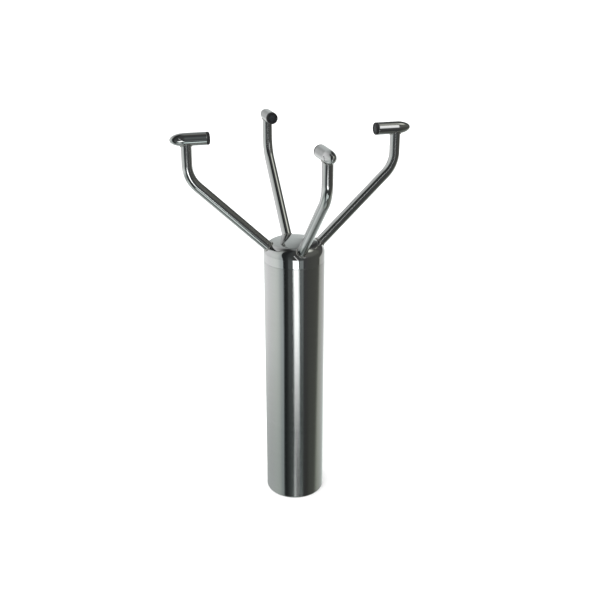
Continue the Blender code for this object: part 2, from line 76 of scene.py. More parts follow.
# Camera, placed from the housing's axis at the level of its foot
CAMERA_DISTANCE = 0.7881
CAMERA_HEIGHT = 0.5375
CAMERA_SIDE = math.radians(-15.912)  # how far round from -Y it stands, towards +X
CAMERA_PITCH = math.radians(22.162)
CAMERA_PAN = math.radians(0.403)
CAMERA_LENS = 50.69

# Shapes that the frame's boxes don't give
ARM_LEAN = math.radians(46)
ARM_ROOT = 0.027  # an arm's centreline passes this far from the axis ...
ARM_ROOT_HEIGHT = 0.2765  # ... at this height
ARM_BEND = 0.029
ARM_WALL = 0.001
TUBE_WALL = 0.002
NOSE_LENGTH = 0.014
CROWN = 0.0025  # how far the middle of the cap's dome stands above the dome's edge
SHOULDER_DEPTH = 0.0085  # how far in from the cap's side the dome ends
SEAM = 0.00006  # the width of the line between the housing and the cap
SEAM_EDGE = 0.0001  # the rounding of the two edges that meet there
CAD_GAP = 0.0003  # what the CAD model leaves between pieces that touch
WELD_GAP = 0.0001  # between an arm's end and the head that it's welded to
SCREW_TIP = 0.0251  # a clamp screw's inner end, from the axis
SCREW_LENGTH = 0.005
RECESS_TOP = 0.047  # the ceiling of the base plug's recess, where the fittings sit
FITTING_TOP = RECESS_TOP - CAD_GAP
SHARP_ANGLE = math.radians(32)


# Sizes read from the frame


def size_of(node):
    """(lowest corner, highest corner) of a CAD node as vectors."""
    low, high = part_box(node)
    return Vector(low), Vector(high)


TUBE_HIGH = size_of("housing_tube")[1]
CAP_LOW, CAP_HIGH = size_of("top_cap")
ARM_LOW, ARM_HIGH = size_of("arm_tube_east")
SHELL_LOW, SHELL_HIGH = size_of("transducer_shell_east")
BOOT_LOW, BOOT_HIGH = size_of("transducer_boot_east")
DISC_LOW, DISC_HIGH = size_of("matching_disc_east")

BODY_RADIUS = TUBE_HIGH.x
CAP_TOP = CAP_HIGH.z
SEAM_HEIGHT = TUBE_HIGH.z + CAD_GAP / 2
ARM_RADIUS = ARM_HIGH.y
ARM_REACH = ARM_HIGH.x - ARM_RADIUS
HEAD_RADIUS = SHELL_HIGH.y
HEAD_HEIGHT = (SHELL_LOW.z + SHELL_HIGH.z) / 2
HEAD_TIP = SHELL_HIGH.x
SHELL_FRONT = SHELL_LOW.x
FACE_REACH = BOOT_LOW.x

# The cap's dome, and the shoulder tangent to it
DOME_EDGE = BODY_RADIUS - SHOULDER_DEPTH
DOME_RADIUS = (DOME_EDGE**2 + CROWN**2) / (2 * CROWN)
DOME_SLOPE = math.asin(DOME_EDGE / DOME_RADIUS)
SHOULDER_RADIUS = SHOULDER_DEPTH / (1 - math.sin(DOME_SLOPE))
SHOULDER_REACH = BODY_RADIUS - SHOULDER_RADIUS
SHOULDER_LEVEL = CAP_TOP - CROWN - SHOULDER_RADIUS * math.cos(DOME_SLOPE)


# Mesh helpers


def circle_steps(count):
    """The angles of equal steps round a circle."""
    return [TAU * step / count for step in range(count)]


def arc(centre, radius, start, end, steps):
    """Points on an arc, both ends included."""
    angles = [start + (end - start) * step / steps for step in range(steps + 1)]
    return [(centre[0] + radius * math.cos(a), centre[1] + radius * math.sin(a)) for a in angles]


def skin(rings, closed):
    """Faces between rings of points, as (points, faces). A ring of one point is a tip.

    A closed skin also joins its last ring to its first.
    """
    points, starts = [], []
    for ring in rings:
        starts.append(len(points))
        points.extend(ring)
    faces = []
    count = len(rings)
    for index in range(count if closed else count - 1):
        one, other = rings[index], rings[(index + 1) % count]
        first, second = starts[index], starts[(index + 1) % count]
        width = max(len(one), len(other))
        for step in range(width):
            after = (step + 1) % width
            if len(one) == 1:
                faces.append((first, second + after, second + step))
            elif len(other) == 1:
                faces.append((first + step, first + after, second))
            else:
                faces.append((first + step, first + after, second + after, second + step))
    return points, faces


def mesh_from(name, points, faces):
    """A mesh with its faces pointing out."""
    mesh = bpy.data.meshes.new(name)
    mesh.from_pydata(points, [], faces)
    shape = bmesh.new()
    shape.from_mesh(mesh)
    bmesh.ops.remove_doubles(shape, verts=shape.verts, dist=1e-8)
    bmesh.ops.recalc_face_normals(shape, faces=shape.faces)
    shape.to_mesh(mesh)
    shape.free()
    return mesh


def held(outline, ring, reach=0.0003):
    """The outline with a point added near each end of its long sides, so that their shading stays flat."""
    points = []
    for one, other in zip(outline, outline[1:] + outline[:1]):
        points.append(one)
        length = math.dist(one, other)
        if length > 6 * reach and (ring or other is not outline[0]):
            for share in (reach / length, 1 - reach / length):
                points.append((one[0] + share * (other[0] - one[0]), one[1] + share * (other[1] - one[1])))
    return points


def turned(name, outline, sides=96, ring=True):
    """Turns (radius, height) points about Z. A ring's outline closes, any other has its ends on the axis."""
    rings = []
    for radius, height in held(outline, ring):
        if radius < 1e-9:
            rings.append([(0, 0, height)])
        else:
            rings.append([(radius * math.cos(a), radius * math.sin(a), height) for a in circle_steps(sides)])
    return mesh_from(name, *skin(rings, ring))


def cylinder(name, radius, bottom, top, sides=48):
    """A plain cylinder about Z, or a prism when its sides are few."""
    return turned(name, [(0, bottom), (radius, bottom), (radius, top), (0, top)], sides, ring=False)


def swept(name, path, radii, sides=12):
    """A closed round bead along a closed path, with a radius for each of its points."""
    count = len(path)
    rings = []
    middle = sum(path, Vector()) / count
    for index, place in enumerate(path):
        along = (path[(index + 1) % count] - path[index - 1]).normalized()
        out = (place - middle).normalized()
        out = (out - along * out.dot(along)).normalized()
        up = along.cross(out)
        rings.append([
            place + radii[index] * (math.cos(turn) * out + math.sin(turn) * up)
            for turn in circle_steps(sides)
        ])
    return mesh_from(name, *skin(rings, True))


def hexagon(name, flats, bottom, top, bevel):
    """A six-sided prism with its two rims rounded off by a cone, as on a nut."""
    corner = flats / 2 / math.cos(math.pi / 6)
    prism = cylinder(name, corner, bottom, top, 6)
    cone = [
        (0, bottom), (flats / 2, bottom), (corner + bevel, bottom + 2 * bevel),
        (corner + bevel, top - 2 * bevel), (flats / 2, top), (0, top),
    ]
    return cut_mesh(prism, [turned(name + "_cone", cone, 64, ring=False)], "INTERSECT")


def cut_mesh(mesh, tools, operation="DIFFERENCE"):
    """The mesh after exact Booleans with each tool mesh."""
    body = bpy.data.objects.new(mesh.name + "_body", mesh)
    bpy.context.scene.collection.objects.link(body)
    helpers = []
    for tool in tools:
        helper = bpy.data.objects.new(tool.name + "_tool", tool)
        bpy.context.scene.collection.objects.link(helper)
        helpers.append(helper)
        modifier = body.modifiers.new(tool.name, "BOOLEAN")
        modifier.operation = operation
        modifier.solver = "EXACT"
        modifier.object = helper
    bpy.context.view_layer.update()
    graph = bpy.context.evaluated_depsgraph_get()
    result = bpy.data.meshes.new_from_object(body.evaluated_get(graph))
    for used in (body, *helpers):
        bpy.data.objects.remove(used)
    return result


def moved(mesh, matrix):
    """The mesh after a matrix, as the same mesh."""
    mesh.transform(matrix)
    return mesh


def stood_at(mesh, x, y):
    """The mesh with its axis moved to this place, at the same height."""
    return moved(mesh, Matrix.Translation((x, y, 0)))


def place_piece(name, mesh, finish, nodes, body=BODY):
    """Links a mesh as a piece that rides on a body and stands for some CAD nodes."""
    mesh.materials.clear()
    mesh.materials.append(finish)
    mesh.shade_smooth()
    mesh.set_sharp_from_angle(angle=SHARP_ANGLE)
    piece = bpy.data.objects.new(name, mesh)
    bpy.context.scene.collection.objects.link(piece)
    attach(piece, body)
    if nodes:
        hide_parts(*nodes)


def outward(azimuth):
    """Turns the Z axis to point away from the housing, level, at this azimuth in degrees."""
    return Matrix.Rotation(math.radians(azimuth), 4, "Z") @ Matrix.Rotation(math.pi / 2, 4, "Y")


# Materials


class Nodes:
    """Builds one material's node tree."""

    def __init__(self, name):
        self.material = bpy.data.materials.new(name)
        self.material.use_nodes = True
        self.tree = self.material.node_tree
        self.shader = self.tree.nodes["Principled BSDF"]

    def add(self, kind, settings=None, **inputs):
        """A node with its settings, and its inputs given as values or sockets by name."""
        node = self.tree.nodes.new(kind)
        for key, value in (settings or {}).items():
            setattr(node, key, value)
        for key, value in inputs.items():
            self.feed(node.inputs[key.replace("_", " ")], value)
        return node

    def feed(self, socket, value):
        if isinstance(value, bpy.types.NodeSocket):
            self.tree.links.new(value, socket)
        else:
            socket.default_value = value

    def math(self, operation, *values):
        node = self.tree.nodes.new("ShaderNodeMath")
        node.operation = operation
        for socket, value in zip(node.inputs, values):
            self.feed(socket, value)
        return node.outputs[0]

    def place(self, stretch=(1, 1, 1)):
        """The object's own coordinates, stretched."""
        where = self.add("ShaderNodeTexCoord").outputs["Object"]
        mapping = self.add("ShaderNodeMapping", Vector=where, Scale=stretch)
        return mapping.outputs["Vector"]

    def noise(self, scale, stretch=(1, 1, 1), detail=3.0, roughness=0.5):
        where = self.place(stretch)
        node = self.add("ShaderNodeTexNoise", Vector=where, Scale=scale, Detail=detail, Roughness=roughness)
        return node.outputs["Fac"]

    def spread(self, factor, low, high, start=0.3, end=0.7):
        """Maps the factor's start..end to low..high."""
        node = self.add(
            "ShaderNodeMapRange", Value=factor, From_Min=start, From_Max=end, To_Min=low, To_Max=high,
        )
        return node.outputs["Result"]

    def mix(self, factor, one, other):
        node = self.add("ShaderNodeMix", {"data_type": "RGBA"})
        self.feed(node.inputs[0], factor)
        self.feed(node.inputs[6], one)
        self.feed(node.inputs[7], other)
        return node.outputs[2]

    def bump(self, height, distance, strength, under=None):
        node = self.add("ShaderNodeBump", Height=height, Distance=distance, Strength=strength)
        if under:
            self.feed(node.inputs["Normal"], under)
        return node.outputs["Normal"]

    def finish(self, colour, roughness, metallic=0.0, normal=None, **others):
        self.feed(self.shader.inputs["Base Color"], colour)
        self.feed(self.shader.inputs["Roughness"], roughness)
        self.feed(self.shader.inputs["Metallic"], metallic)
        if normal:
            self.feed(self.shader.inputs["Normal"], normal)
        for key, value in others.items():
            self.feed(self.shader.inputs[key.replace("_", " ")], value)
        return self.material


def rgb(red, green, blue):
    """An opaque colour."""
    return (red, green, blue, 1)


def brushed_steel():
    """Stainless pipe polished on a belt: fine lines run round it, so reflections smear up and down."""
    nodes = Nodes("brushed_stainless_steel")
    lines = nodes.noise(1.0, (9, 9, 5200), detail=5, roughness=0.65)
    bands = nodes.noise(1.0, (5, 5, 420), detail=2)
    cloud = nodes.noise(26.0, (1, 1, 0.6), detail=3)
    grain = nodes.math("ADD", nodes.math("MULTIPLY", lines, 0.7), nodes.math("MULTIPLY", bands, 0.3))
    colour = nodes.mix(nodes.spread(grain, 0, 1), rgb(0.585, 0.59, 0.585), rgb(0.665, 0.67, 0.665))
    colour = nodes.mix(nodes.spread(cloud, 0, 0.35), colour, rgb(0.60, 0.595, 0.57))
    roughness = nodes.math("ADD", nodes.spread(grain, 0.13, 0.17), nodes.spread(cloud, -0.01, 0.01))
    tangent = nodes.add("ShaderNodeTangent", {"direction_type": "RADIAL", "axis": "Z"}).outputs["Tangent"]
    return nodes.finish(
        colour, roughness, 1.0, nodes.bump(grain, 0.000012, 0.6),
        Anisotropic=0.9, Anisotropic_Rotation=0.25, Tangent=tangent,
    )


def turned_steel():
    """The cap: faced on a lathe, then polished until things can be seen in it."""
    nodes = Nodes("turned_stainless_steel")
    where = nodes.add("ShaderNodeTexCoord").outputs["Object"]
    apart = nodes.add("ShaderNodeSeparateXYZ", Vector=where)
    flat = nodes.add("ShaderNodeCombineXYZ", X=apart.outputs["X"], Y=apart.outputs["Y"], Z=0.0)
    radius = nodes.add("ShaderNodeVectorMath", {"operation": "LENGTH"}, Vector=flat.outputs["Vector"])
    across = nodes.math("SUBTRACT", radius.outputs["Value"], apart.outputs["Z"])
    rings = nodes.add(
        "ShaderNodeTexNoise", {"noise_dimensions": "1D"}, W=across, Scale=4200.0, Detail=3.0, Roughness=0.6,
    ).outputs["Fac"]
    smudge = nodes.noise(70.0, detail=4)
    colour = nodes.mix(nodes.spread(rings, 0, 1), rgb(0.63, 0.635, 0.63), rgb(0.69, 0.695, 0.69))
    roughness = nodes.math("ADD", nodes.spread(rings, 0.045, 0.075), nodes.spread(smudge, -0.01, 0.02))
    tangent = nodes.add("ShaderNodeTangent", {"direction_type": "RADIAL", "axis": "Z"}).outputs["Tangent"]
    return nodes.finish(
        colour, roughness, 1.0, nodes.bump(rings, 0.000006, 0.5),
        Anisotropic=0.4, Anisotropic_Rotation=0.25, Tangent=tangent,
    )


def polished_steel():
    """Mirror-polished tube with faint smears and the slight waviness that polishing leaves."""
    nodes = Nodes("polished_stainless_steel")
    smear = nodes.noise(60.0, detail=5, roughness=0.6)
    scuffs = nodes.noise(900.0, detail=2)
    wave = nodes.noise(110.0, detail=1)
    colour = nodes.mix(nodes.spread(smear, 0, 1), rgb(0.62, 0.625, 0.62), rgb(0.68, 0.685, 0.68))
    scuffed = nodes.spread(scuffs, 0, 0.02, 0.45, 0.75)
    roughness = nodes.math("ADD", nodes.spread(smear, 0.045, 0.09), scuffed)
    normal = nodes.bump(scuffs, 0.000004, 0.5, nodes.bump(wave, 0.00003, 0.7))
    return nodes.finish(colour, roughness, 1.0, normal)


def weld_metal():
    """Dressed weld beads, duller than the tubes and slightly tinted by the heat."""
    nodes = Nodes("dressed_weld_metal")
    tint = nodes.noise(240.0, detail=3)
    grain = nodes.noise(1500.0, detail=3)
    colour = nodes.mix(nodes.spread(tint, 0, 1), rgb(0.62, 0.61, 0.59), rgb(0.50, 0.48, 0.45))
    roughness = nodes.spread(grain, 0.08, 0.16)
    return nodes.finish(colour, roughness, 1.0, nodes.bump(grain, 0.00003, 0.6))


def metal(name, dark, light, roughness):
    """A machined or plated metal with fine tool marks."""
    nodes = Nodes(name)
    marks = nodes.noise(900.0, detail=4, roughness=0.6)
    cloud = nodes.noise(90.0, detail=3)
    colour = nodes.mix(nodes.spread(cloud, 0, 1), rgb(*dark), rgb(*light))
    fine = nodes.spread(marks, roughness - 0.06, roughness + 0.08)
    rough = nodes.math("ADD", fine, nodes.spread(cloud, 0, 0.05))
    return nodes.finish(colour, rough, 1.0, nodes.bump(marks, 0.00001, 0.6))


def plain(name, dark, light, roughness, scale=400.0):
    """A moulded, cast or fired material: a little mottling and a fine matt surface."""
    nodes = Nodes(name)
    mottle = nodes.noise(scale / 6, detail=4)
    grain = nodes.noise(scale * 4, detail=3, roughness=0.6)
    colour = nodes.mix(nodes.spread(mottle, 0, 1), rgb(*dark), rgb(*light))
    fine = nodes.spread(grain, roughness - 0.05, roughness + 0.07)
    rough = nodes.math("ADD", fine, nodes.spread(mottle, 0, 0.04))
    return nodes.finish(colour, rough, 0.0, nodes.bump(grain, 0.00004, 0.5))


def board_laminate():
    """Green solder mask over rows of tracks, with tinned pads."""
    nodes = Nodes("circuit_board")
    where = nodes.place()
    tracks = nodes.add(
        "ShaderNodeTexBrick", {"offset": 0.37}, Vector=where, Scale=160.0, Mortar_Size=0.07, Row_Height=0.35,
    )
    pads = nodes.add("ShaderNodeTexVoronoi", {"feature": "F1"}, Vector=where, Scale=330.0, Randomness=0.35)
    pad = nodes.math("LESS_THAN", pads.outputs["Distance"], 0.17)
    cloud = nodes.noise(60.0)
    mask = nodes.mix(tracks.outputs["Fac"], rgb(0.012, 0.11, 0.045), rgb(0.03, 0.22, 0.09))
    mask = nodes.mix(nodes.spread(cloud, 0, 0.4), mask, rgb(0.01, 0.13, 0.06))
    colour = nodes.mix(pad, mask, rgb(0.55, 0.55, 0.52))
    roughness = nodes.math("ADD", nodes.math("MULTIPLY", pad, 0.12), nodes.spread(cloud, 0.24, 0.34))
    return nodes.finish(colour, roughness, nodes.math("MULTIPLY", pad, 0.9), nodes.bump(pad, 0.00004, 0.6))


def make_materials():
    """The finishes by name: one for each slot of the record, and turned_steel and weld besides."""
    return {
        "brushed_steel": brushed_steel(),
        "turned_steel": turned_steel(),
        "polished_steel": polished_steel(),
        "weld": weld_metal(),
        "zinc_steel": metal("zinc_plated_steel", (0.42, 0.43, 0.45), (0.58, 0.59, 0.60), 0.34),
        "aluminium": metal("anodised_aluminium", (0.56, 0.57, 0.58), (0.66, 0.67, 0.68), 0.36),
        "nickel_brass": metal("nickel_plated_brass", (0.55, 0.52, 0.45), (0.68, 0.65, 0.58), 0.22),
        "rubber": plain("black_rubber", (0.008, 0.008, 0.009), (0.020, 0.020, 0.021), 0.46, 500.0),
        "transducer_facing": plain(
            "transducer_facing", (0.008, 0.011, 0.013), (0.020, 0.025, 0.029), 0.44, 700.0,
        ),
        "piezo_ceramic": plain("piezo_ceramic", (0.62, 0.56, 0.42), (0.74, 0.68, 0.54), 0.52),
        "backing_resin": plain("backing_resin", (0.13, 0.07, 0.035), (0.22, 0.13, 0.07), 0.40),
        "lead_sheath": plain("lead_sheath", (0.035, 0.035, 0.038), (0.07, 0.07, 0.075), 0.50),
        "black_plastic": plain("black_plastic", (0.012, 0.012, 0.013), (0.028, 0.028, 0.030), 0.42),
        "chip_package": plain("chip_package", (0.014, 0.014, 0.015), (0.03, 0.03, 0.032), 0.48, 900.0),
        "board_laminate": board_laminate(),
    }


# Housing


def make_housing(finish):
    """The pipe, with its lower rim broken by a chamfer and its screw holes countersunk."""
    bore = BODY_RADIUS - TUBE_WALL
    top = SEAM_HEIGHT - SEAM / 2
    chamfer_height, chamfer_depth, edge = 0.0015, 0.00045, 0.0002
    rounding, bore_edge = 0.0003, 0.0004
    outline = [
        (bore + bore_edge, 0), (BODY_RADIUS - chamfer_depth - edge, 0), (BODY_RADIUS - chamfer_depth, edge),
        *arc((BODY_RADIUS - rounding, chamfer_height), rounding, -math.radians(15), 0, 2),
        *arc((BODY_RADIUS - SEAM_EDGE, top - SEAM_EDGE), SEAM_EDGE, 0, math.pi / 2, 4),
        (bore, top), (bore, bore_edge),
    ]
    tube = cut_mesh(turned("housing_skin", outline, 256), screw_holes())
    place_piece("housing_skin", tube, finish, ["housing_tube"])


def screw_names():
    return [f"clamp_screw_{row}_{side}" for row in ("lower", "upper") for side in ("east", "west")]


def screw_place(name):
    """The turn and rise that carry the Z axis onto a clamp screw's own axis."""
    low, high = size_of(name)
    middle = (low + high) / 2
    azimuth = math.degrees(math.atan2(middle.y, middle.x))
    return Matrix.Translation((0, 0, middle.z)) @ outward(azimuth)


def screw_holes():
    """Tools for the threaded holes, each with a small countersink at the housing's surface."""
    radius, sink = 0.00315, 0.00035
    start, end = 0.022, BODY_RADIUS + 0.002
    outline = [
        (0, start), (radius, start), (radius, BODY_RADIUS - sink), (radius + 2 * sink, BODY_RADIUS + sink),
        (radius + 2 * sink, end), (0, end),
    ]
    return [
        moved(turned("hole_" + name, outline, 48, ring=False), screw_place(name)) for name in screw_names()
    ]


def cap_height(radius):
    """The height of the cap's upper surface at this distance from its axis."""
    if radius <= DOME_EDGE:
        return CAP_TOP - DOME_RADIUS + math.sqrt(DOME_RADIUS**2 - radius**2)
    across = min(radius - SHOULDER_REACH, SHOULDER_RADIUS)
    return SHOULDER_LEVEL + math.sqrt(SHOULDER_RADIUS**2 - across**2)


def make_cap(finish):
    """The domed cap with its rounded shoulder, spigot and arm sockets."""
    bottom = SEAM_HEIGHT + SEAM / 2
    spigot, hollow, ceiling = BODY_RADIUS - TUBE_WALL - CAD_GAP, 0.022, 0.262
    socket, socket_start, socket_end = 0.00505, -0.026, 0.018
    upright = math.pi / 2
    outline = [
        (0, CAP_TOP), *arc((0, CAP_TOP - DOME_RADIUS), DOME_RADIUS, upright, upright - DOME_SLOPE, 16)[1:-1],
        *arc((SHOULDER_REACH, SHOULDER_LEVEL), SHOULDER_RADIUS, upright - DOME_SLOPE, 0, 24),
        *arc((BODY_RADIUS - SEAM_EDGE, bottom + SEAM_EDGE), SEAM_EDGE, 0, -math.pi / 2, 4),
        (spigot, bottom), (spigot, CAP_LOW.z), (hollow, CAP_LOW.z), (hollow, ceiling), (0, ceiling),
    ]
    tools = [
        moved(cylinder("arm_bore", socket, socket_start, socket_end), arm_socket(azimuth))
        for azimuth in SIDES.values()
    ]
    cap = cut_mesh(turned("cap_skin", outline, 256, ring=False), tools)
    place_piece("cap_skin", cap, finish, ["top_cap"])


# Arms and heads


def arm_socket(azimuth):
    """Carries the Z axis onto the centreline of one arm's slanted part."""
    return (
        Matrix.Rotation(math.radians(azimuth), 4, "Z")
        @ Matrix.Translation((ARM_ROOT, 0, ARM_ROOT_HEIGHT))
        @ Matrix.Rotation(ARM_LEAN, 4, "Y")
    )


def arm_line():
    """An arm's centreline as (reach, height, lean), from inside the cap to the head."""
    corner = ARM_ROOT_HEIGHT + (ARM_REACH - ARM_ROOT) / math.tan(ARM_LEAN)
    bend_height = corner + ARM_BEND * math.tan(ARM_LEAN / 2)
    start_height = ARM_LOW.z + 0.004  # the middle of the tube's slanted end, above its lowest edge
    start = (ARM_ROOT - (ARM_ROOT_HEIGHT - start_height) * math.tan(ARM_LEAN), start_height, ARM_LEAN)
    steps = 28
    leans = [ARM_LEAN * (1 - step / steps) for step in range(steps + 1)]
    bend = [
        (ARM_REACH - ARM_BEND * (1 - math.cos(lean)), bend_height - ARM_BEND * math.sin(lean), lean)
        for lean in leans
    ]
    return [start, *bend]


def arm_mesh():
    """The bent tube, its top coped to the round head that it's welded to."""
    sides = 64
    sideways = Vector((0, 1, 0))
    rings = []
    for radius in (ARM_RADIUS, ARM_RADIUS - ARM_WALL):
        strip = []
        for reach, height, lean in arm_line():
            centre, across = Vector((reach, 0, height)), Vector((math.cos(lean), 0, -math.sin(lean)))
            strip.append([
                centre + radius * (math.cos(turn) * across + math.sin(turn) * sideways)
                for turn in circle_steps(sides)
            ])
        strip.append([head_joint_point(radius, turn) for turn in circle_steps(sides)])
        rings.append(strip)
    outer, inner = rings
    return mesh_from("arm", *skin([*outer, *reversed(inner)], True))


def head_joint_point(radius, turn):
    """A point on the joint of an upright tube of this radius and the underside of the east head."""
    side = radius * math.sin(turn)
    height = HEAD_HEIGHT - math.sqrt((HEAD_RADIUS + WELD_GAP) ** 2 - side**2)
    return Vector((ARM_REACH + radius * math.cos(turn), side, height))


def cap_joint_point(turn):
    """A point where the east arm's surface meets the cap, found by halving along the arm."""
    socket = arm_socket(0)
    low, high = -0.02, 0.03  # along the arm, from inside the cap to outside it
    for _ in range(40):
        middle = (low + high) / 2
        place = socket @ Vector((ARM_RADIUS * math.cos(turn), ARM_RADIUS * math.sin(turn), middle))
        if place.z < cap_height(math.hypot(place.x, place.y)):
            low = middle
        else:
            high = middle
    return place


def bead_radii(size, count):
    """A weld bead's radius round its length, with its ripples."""
    ripples, depth = 24, 0.10
    return [size * (1 + depth * math.sin(ripples * turn)) for turn in circle_steps(count)]


def make_arms(finishes):
    """The pieces of the east arm, and a copy of each on every side."""
    cap_bead_size, head_bead_size, stand_off = 0.0009, 0.0006, 0.0002
    count = 96
    cap_line = [cap_joint_point(turn) for turn in circle_steps(count)]
    cap_bead = swept("cap_weld", cap_line, bead_radii(cap_bead_size, count))
    head_line = [head_joint_point(ARM_RADIUS + stand_off, turn) for turn in circle_steps(count)]
    head_bead = swept("head_weld", head_line, bead_radii(head_bead_size, count))
    pieces = {
        "arm_skin": (arm_mesh(), "polished_steel", "polished_steel", "arm_tube"),
        "cap_weld": (cap_bead, "weld", "polished_steel", None),
        "head_weld": (head_bead, "weld", "polished_steel", None),
        "head_skin": (head_mesh(), "polished_steel", "polished_steel", "transducer_shell"),
        "boot_skin": (boot_mesh(), "rubber", "rubber", "transducer_boot"),
        "face_skin": (face_mesh(), "transducer_facing", "transducer_facing", "matching_disc"),
    }
    for side, azimuth in SIDES.items():
        turn = Matrix.Rotation(math.radians(azimuth), 4, "Z")
        for name, (mesh, finish, slot, node) in pieces.items():
            copy = mesh.copy()
            copy.transform(turn)
            nodes = [f"{node}_{side}"] if node else []
            place_piece(f"{name}_{side}", copy, finishes[finish], nodes)


def along_head(mesh):
    """Lays a mesh turned about Z along the east head, with its heights as distances from the main axis."""
    return moved(mesh, Matrix.Translation((0, 0, HEAD_HEIGHT)) @ outward(0))


def head_mesh():
    """The casing: a tube with a pointed nose, its front edge rounded."""
    bore, bore_end, edge = 0.005, 0.105, 0.0003
    steps = 28
    nose = [
        (HEAD_RADIUS * math.cos(t), HEAD_TIP - NOSE_LENGTH * (1 - math.sin(t)))
        for t in (math.pi / 2 * step / steps for step in range(steps))
    ]
    front = arc((HEAD_RADIUS - edge, SHELL_FRONT + edge), edge, -math.pi / 2, 0, 4)
    outline = [(0, bore_end), (bore, bore_end), (bore, SHELL_FRONT), *front, *nose, (0, HEAD_TIP)]
    return along_head(turned("head", outline, 96, ring=False))


def boot_mesh():
    """The rubber boot, with a rounded rim round the recessed face."""
    outer, mouth, spigot, seat = HEAD_RADIUS - 0.0001, 0.0038, 0.0047, 0.0042
    rounding, back = 0.0013, SHELL_FRONT - 0.00008
    lip, mouth_end = 0.0004, FACE_REACH + 0.0031
    outline = [
        *arc((mouth + lip, FACE_REACH + lip), lip, -math.pi, -math.pi / 2, 4),
        *arc((outer - rounding, FACE_REACH + rounding), rounding, -math.pi / 2, 0, 10),
        (outer, back), (spigot, back), (spigot, BOOT_HIGH.x), (seat, BOOT_HIGH.x),
        (seat, mouth_end), (mouth, mouth_end),
    ]
    return along_head(turned("boot", outline, 80))


def face_mesh():
    """The matching disc: a shallow dome, a groove round it and a rounded rim."""
    front, back = DISC_LOW.x, DISC_HIGH.x
    radius, edge = 0.0037, 0.0001
    dome_radius, dome_rise, dome_edge = 0.0031, 0.00012, front + 0.00015
    groove_start, groove_end, groove_floor = 0.0032, 0.0034, front + 0.0003
    steps = 8
    dome = [
        (dome_radius * step / steps, dome_edge - dome_rise * (1 - (step / steps) ** 2))
        for step in range(steps + 1)
    ]
    outline = [
        *dome, (groove_start, groove_floor), (groove_end, groove_floor),
        *arc((radius - edge, front + edge), edge, math.pi, 1.5 * math.pi, 3),
        (radius, front + edge), (radius, back), (0, back),
    ]
    return along_head(turned("face", outline, 64, ring=False))


# Clamp screws


def make_clamp_screws(finish):
    """Set screws with a hexagon socket, a dished end and turned threads."""
    tip, end = SCREW_TIP, SCREW_TIP + SCREW_LENGTH
    radius, pitch, thread = 0.003, 0.001, 0.00035
    socket_flats, socket_depth = 0.003, 0.0025
    crests = []
    for step in range(4):
        start = tip + 0.0007 + step * pitch
        crests += [(radius - thread, start), (radius, start + 0.35 * pitch), (radius, start + 0.5 * pitch)]
    dish = [(0, tip + 0.0003), (0.0012, tip + 0.0002), (0.0018, tip)]
    outline = [*dish, *crests, (radius - thread, end - 0.0003), (radius - 2 * thread, end), (0, end)]
    mouth = [(0, end - 0.0008), (0.0011, end - 0.0008), (0.0021, end + 0.0002), (0, end + 0.0002)]
    corner = socket_flats / 2 / math.cos(math.pi / 6)
    for name in screw_names():
        key = cylinder("key", corner, end - socket_depth, end + 0.001, 6)
        sink = turned("sink", mouth, 48, ring=False)
        mesh = cut_mesh(turned(name + "_skin", outline, 64, ring=False), [key, sink])
        place_piece(name + "_skin", moved(mesh, screw_place(name)), finish, [name], body=name)


# Lower end


def make_socket(finish):
    """The mast sleeve, with a lead-in at its mouth and its lip above the base plug."""
    low, high = size_of("mast_socket")
    outer, bore, lip = high.x, 0.0253, 0.0215
    edge, mouth, lead_in = 0.0004, 0.001, 0.0014
    ledge = size_of("base_plug")[1].z + CAD_GAP
    outline = [
        (bore + mouth, low.z), (outer - edge, low.z), (outer, low.z + edge), (outer, high.z - edge),
        (outer - edge, high.z), (lip, high.z), (lip, ledge), (bore, ledge),
        *arc((bore + lead_in, low.z + lead_in), lead_in, math.pi, 1.25 * math.pi, 5),
    ]
    mesh = cut_mesh(turned("socket_skin", outline, 192), screw_holes())
    place_piece("socket_skin", mesh, finish, ["mast_socket"])


def make_plug(finish):
    """The base plug, with bevelled rims, its seal groove and its holes."""
    low, high = size_of("base_plug")
    outer, recess, edge = high.x, 0.021, 0.0004
    groove, groove_low, groove_high = 0.0227, 0.050, 0.053
    outline = [
        (0, high.z), (outer - edge, high.z), (outer, high.z - edge),
        (outer, groove_high), (groove, groove_high), (groove, groove_low), (outer, groove_low),
        (outer, low.z + edge), (outer - edge, low.z), (recess + edge, low.z), (recess, low.z + edge),
        (recess, RECESS_TOP - edge), (recess - edge, RECESS_TOP), (0, RECESS_TOP),
    ]
    holes = [("connector_shell", 0.0083), ("vent_plug", 0.0033), ("earth_screw", 0.0018)]
    holes += [(f"tie_rod_{rod}", 0.0028) for rod in RODS]
    tools = []
    for node, radius in holes:
        start, end = size_of(node)
        middle = (start + end) / 2
        hole_end = 0.054 if node == "earth_screw" else high.z + 0.002  # the earth screw's hole is blind
        tools.append(stood_at(cylinder("hole_" + node, radius, low.z, hole_end), middle.x, middle.y))
    mesh = cut_mesh(turned("plug_skin", outline, 192, ring=False), tools)
    place_piece("plug_skin", mesh, finish, ["base_plug"])


def make_nuts(finish):
    """The nuts on the tie rods' lower ends, chamfered and bored."""
    radius, sink, past = 0.0028, 0.0004, 0.001
    for rod in RODS:
        node = f"tie_rod_nut_{rod}"
        low, high = size_of(node)
        flats, middle = high.y - low.y, (low + high) / 2
        nut = hexagon("nut", flats, low.z, high.z, 0.0004)
        bore = [
            (0, low.z - past), (radius + 1.5 * sink, low.z - sink), (radius, low.z + sink),
            (radius, high.z + past), (0, high.z + past),
        ]
        mesh = stood_at(cut_mesh(nut, [turned("bore", bore, 48, ring=False)]), middle.x, middle.y)
        place_piece(f"rod_nut_skin_{rod}", mesh, finish, [node])


